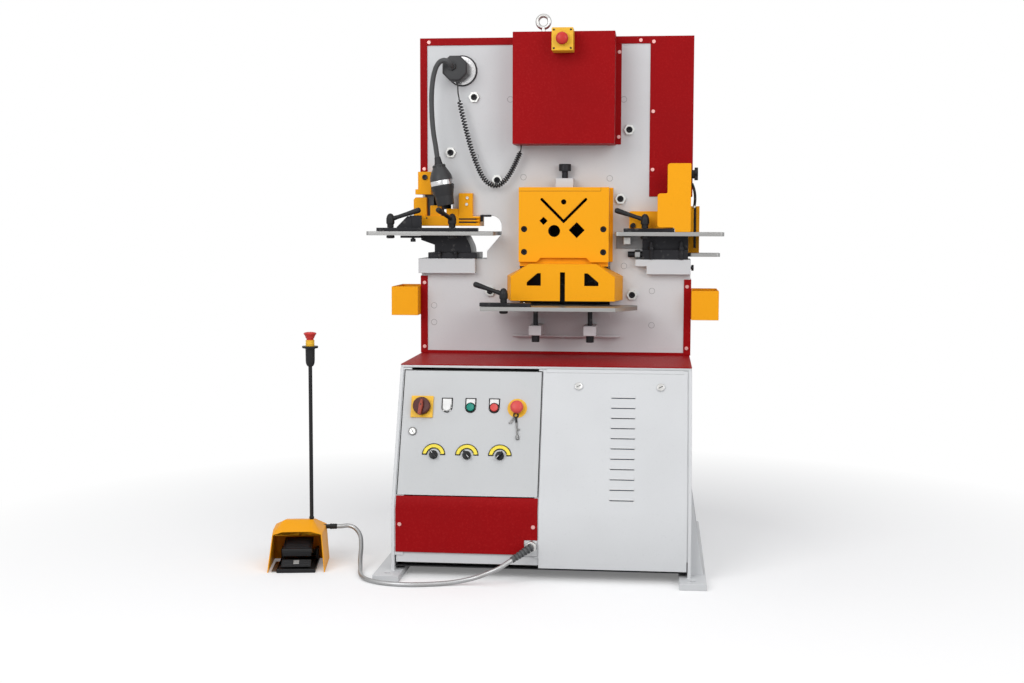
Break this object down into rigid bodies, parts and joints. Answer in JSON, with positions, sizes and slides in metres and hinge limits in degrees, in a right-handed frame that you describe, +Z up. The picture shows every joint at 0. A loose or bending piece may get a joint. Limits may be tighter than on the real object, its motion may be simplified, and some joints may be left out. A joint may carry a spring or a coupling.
{
  "type": "hydraulic ironworker",
  "caption": "Hydraulic ironworker: punch, bar, angle and flat shears and notcher on one ram, tray base with control door, work lamp and cabled foot pedal with a stop post.",
  "frame": {"origin": "centre of the four floor-anchor holes, on the floor", "axes": "+X to the machine's right seen from the front, +Y to the rear, +Z up"},
  "size_m": [1.4198, 0.946, 1.7642],
  "materials": {
    "grey_paint": "satin light grey paint",
    "red_paint": "textured red powder coat",
    "yellow_paint": "satin orange-yellow paint",
    "bright_steel": "ground steel",
    "black_steel": "blackened steel",
    "zinc": "pale zinc plate",
    "bronze": "bearing bronze",
    "blue_paint": "blue machine paint",
    "black_plastic": "black plastic",
    "black_rubber": "black rubber",
    "grey_sheath": "grey cable sheath",
    "red_plastic": "red plastic",
    "green_plastic": "green plastic",
    "yellow_plastic": "yellow plastic"
  },
  "bodies": {
    "frame": {"front_plate": "grey_paint", "rear_plate": "grey_paint", "frame_spacers": "bright_steel", "guide_pads": "bronze", "gib_nuts": "zinc", "edge_covers": "red_paint", "cylinder_cover": "red_paint", "lifting_eye": "bright_steel", "base_frame": "grey_paint", "drip_tray": "red_paint", "kick_panel": "red_paint", "cover_screws": "zinc", "socket_screws": "black_steel", "side_bins": "yellow_paint", "support_blocks": "grey_paint", "punch_die_holder": "black_steel", "notcher_die": "black_steel", "work_tables": "bright_steel", "stripper": "yellow_paint", "notcher_guard": "yellow_paint", "shear_guard": "yellow_paint", "flat_shear_guard": "yellow_paint", "fixed_blades": "black_steel", "hydraulic_cylinder": "black_steel", "power_pack": "blue_paint", "top_estop_box": "yellow_plastic", "lamp_base": "black_plastic", "lamp_head": "black_plastic", "lamp_cord": "black_rubber", "pedal_hood": "yellow_paint", "pedal_base": "black_plastic", "estop_pole": "black_plastic", "pedal_cable": "grey_sheath", "cable_glands": "grey_sheath"},
    "ram": {"ram_plate": "bright_steel", "piston_rod": "bright_steel", "punch_holder": "black_steel", "ram_blades": "black_steel"},
    "motor_shaft": {"motor_shaft": "bright_steel"},
    "top_estop_button": {"top_estop_button": "red_plastic"},
    "treadle": {"treadle": "black_plastic"},
    "pole_estop_button": {"pole_estop_button": "red_plastic"},
    "control_door": {"control_door": "grey_paint"},
    "main_switch_knob": {"main_switch_knob": "red_plastic"},
    "start_button": {"start_button": "green_plastic"},
    "stop_button": {"stop_button": "red_plastic"},
    "panel_estop_button": {"panel_estop_button": "red_plastic"},
    "selector_left": {"selector_left": "black_plastic"},
    "selector_centre": {"selector_centre": "black_plastic"},
    "selector_right": {"selector_right": "black_plastic"},
    "door_lock": {"door_lock": "bright_steel"},
    "access_cover": {"access_cover": "grey_paint"},
    "punch_fence": {"punch_fence": "black_steel"},
    "punch_lever_left": {"punch_lever_left": "black_plastic"},
    "punch_lever_right": {"punch_lever_right": "black_plastic"},
    "shear_fence": {"shear_fence": "black_steel"},
    "shear_lever": {"shear_lever": "black_plastic"},
    "notcher_lever": {"notcher_lever": "black_plastic"},
    "hold_down_screw": {"hold_down_screw": "black_steel"},
    "guard_knob": {"guard_knob": "black_plastic"}
  },
  "joints": [
    {"name": "ram_stroke", "type": "slide", "parent": "frame", "child": "ram", "axis": [0, 0, -1], "range_m": [0, 0.045]},
    {"name": "motor_spin", "type": "hinge", "parent": "frame", "child": "motor_shaft", "pos_m": [0.23, -0.025, 0.42], "axis": [0, 0, 1], "continuous": true},
    {"name": "door_swing", "type": "hinge", "parent": "frame", "child": "control_door", "pos_m": [-0.005, -0.28486, 0.431], "axis": [0, 0.3854, 0.9228], "range_deg": [0, 85]},
    {"name": "main_switch_turn", "type": "hinge", "parent": "control_door", "child": "main_switch_knob", "pos_m": [-0.374, -0.25479, 0.503], "axis": [0, -0.9228, 0.3854], "range_deg": [-90, 0]},
    {"name": "start_press", "type": "slide", "parent": "control_door", "child": "start_button", "axis": [0, 0.9228, -0.3854], "range_m": [0, 0.004], "stiffness_N_per_m": 700, "springref_m": -0.004},
    {"name": "stop_press", "type": "slide", "parent": "control_door", "child": "stop_button", "axis": [0, 0.9228, -0.3854], "range_m": [0, 0.004], "stiffness_N_per_m": 700, "springref_m": -0.004},
    {"name": "panel_estop_press", "type": "slide", "parent": "control_door", "child": "panel_estop_button", "axis": [0, 0.9228, -0.3854], "range_m": [0, 0.005], "stiffness_N_per_m": 700, "springref_m": -0.004},
    {"name": "selector_left_turn", "type": "hinge", "parent": "control_door", "child": "selector_left", "pos_m": [-0.33, -0.31284, 0.364], "axis": [0, -0.9228, 0.3854], "range_deg": [-80, 0]},
    {"name": "selector_centre_turn", "type": "hinge", "parent": "control_door", "child": "selector_centre", "pos_m": [-0.228, -0.31284, 0.364], "axis": [0, -0.9228, 0.3854], "range_deg": [-78, 2]},
    {"name": "selector_right_turn", "type": "hinge", "parent": "control_door", "child": "selector_right", "pos_m": [-0.127, -0.31284, 0.364], "axis": [0, -0.9228, 0.3854], "range_deg": [0, 80]},
    {"name": "door_lock_turn", "type": "hinge", "parent": "control_door", "child": "door_lock", "pos_m": [-0.399, -0.28486, 0.431], "axis": [0, -0.9228, 0.3854], "range_deg": [0, 90]},
    {"name": "cover_tilt", "type": "hinge", "parent": "frame", "child": "access_cover", "pos_m": [0.217, -0.378, 0.038], "axis": [1, 0, 0], "range_deg": [0, 60]},
    {"name": "punch_fence_slide", "type": "slide", "parent": "frame", "child": "punch_fence", "axis": [0, 1, 0], "range_m": [0, 0.02]},
    {"name": "punch_lever_left_turn", "type": "hinge", "parent": "punch_fence", "child": "punch_lever_left", "pos_m": [-0.538, 0.097, 1.06], "axis": [0, 0, 1], "range_deg": [-75, 0]},
    {"name": "punch_lever_right_turn", "type": "hinge", "parent": "punch_fence", "child": "punch_lever_right", "pos_m": [-0.332, 0.097, 1.06], "axis": [0, 0, 1], "range_deg": [-40, 60]},
    {"name": "shear_fence_slide", "type": "slide", "parent": "frame", "child": "shear_fence", "axis": [0, 1, 0], "range_m": [0, 0.04]},
    {"name": "shear_lever_turn", "type": "hinge", "parent": "shear_fence", "child": "shear_lever", "pos_m": [-0.15, -0.008, 0.82], "axis": [0, 0, 1], "range_deg": [-40, 60]},
    {"name": "notcher_lever_turn", "type": "hinge", "parent": "frame", "child": "notcher_lever", "pos_m": [0.299, 0.117, 1.06], "axis": [0, 0, 1], "range_deg": [-5, 60]},
    {"name": "hold_down_feed", "type": "slide", "parent": "frame", "child": "hold_down_screw", "axis": [0, 0, -1], "range_m": [0, 0.015]},
    {"name": "guard_knob_turn", "type": "hinge", "parent": "frame", "child": "guard_knob", "pos_m": [0.458, 0.146, 1.2275], "axis": [1, 0, 0], "continuous": true},
    {"name": "pedal_press", "type": "hinge", "parent": "frame", "child": "treadle", "pos_m": [-0.77114, -0.21864, 0.03], "axis": [0.9877, 0.1564, 0], "range_deg": [0, 9], "stiffness_Nm_per_rad": 6, "springref_deg": -22.92},
    {"name": "pole_estop_press", "type": "slide", "parent": "frame", "child": "pole_estop_button", "axis": [0, 0, -1], "range_m": [0, 0.005], "stiffness_N_per_m": 700, "springref_m": -0.004},
    {"name": "top_estop_press", "type": "slide", "parent": "frame", "child": "top_estop_button", "axis": [0, 1, 0], "range_m": [0, 0.005], "stiffness_N_per_m": 700, "springref_m": -0.004}
  ]
}
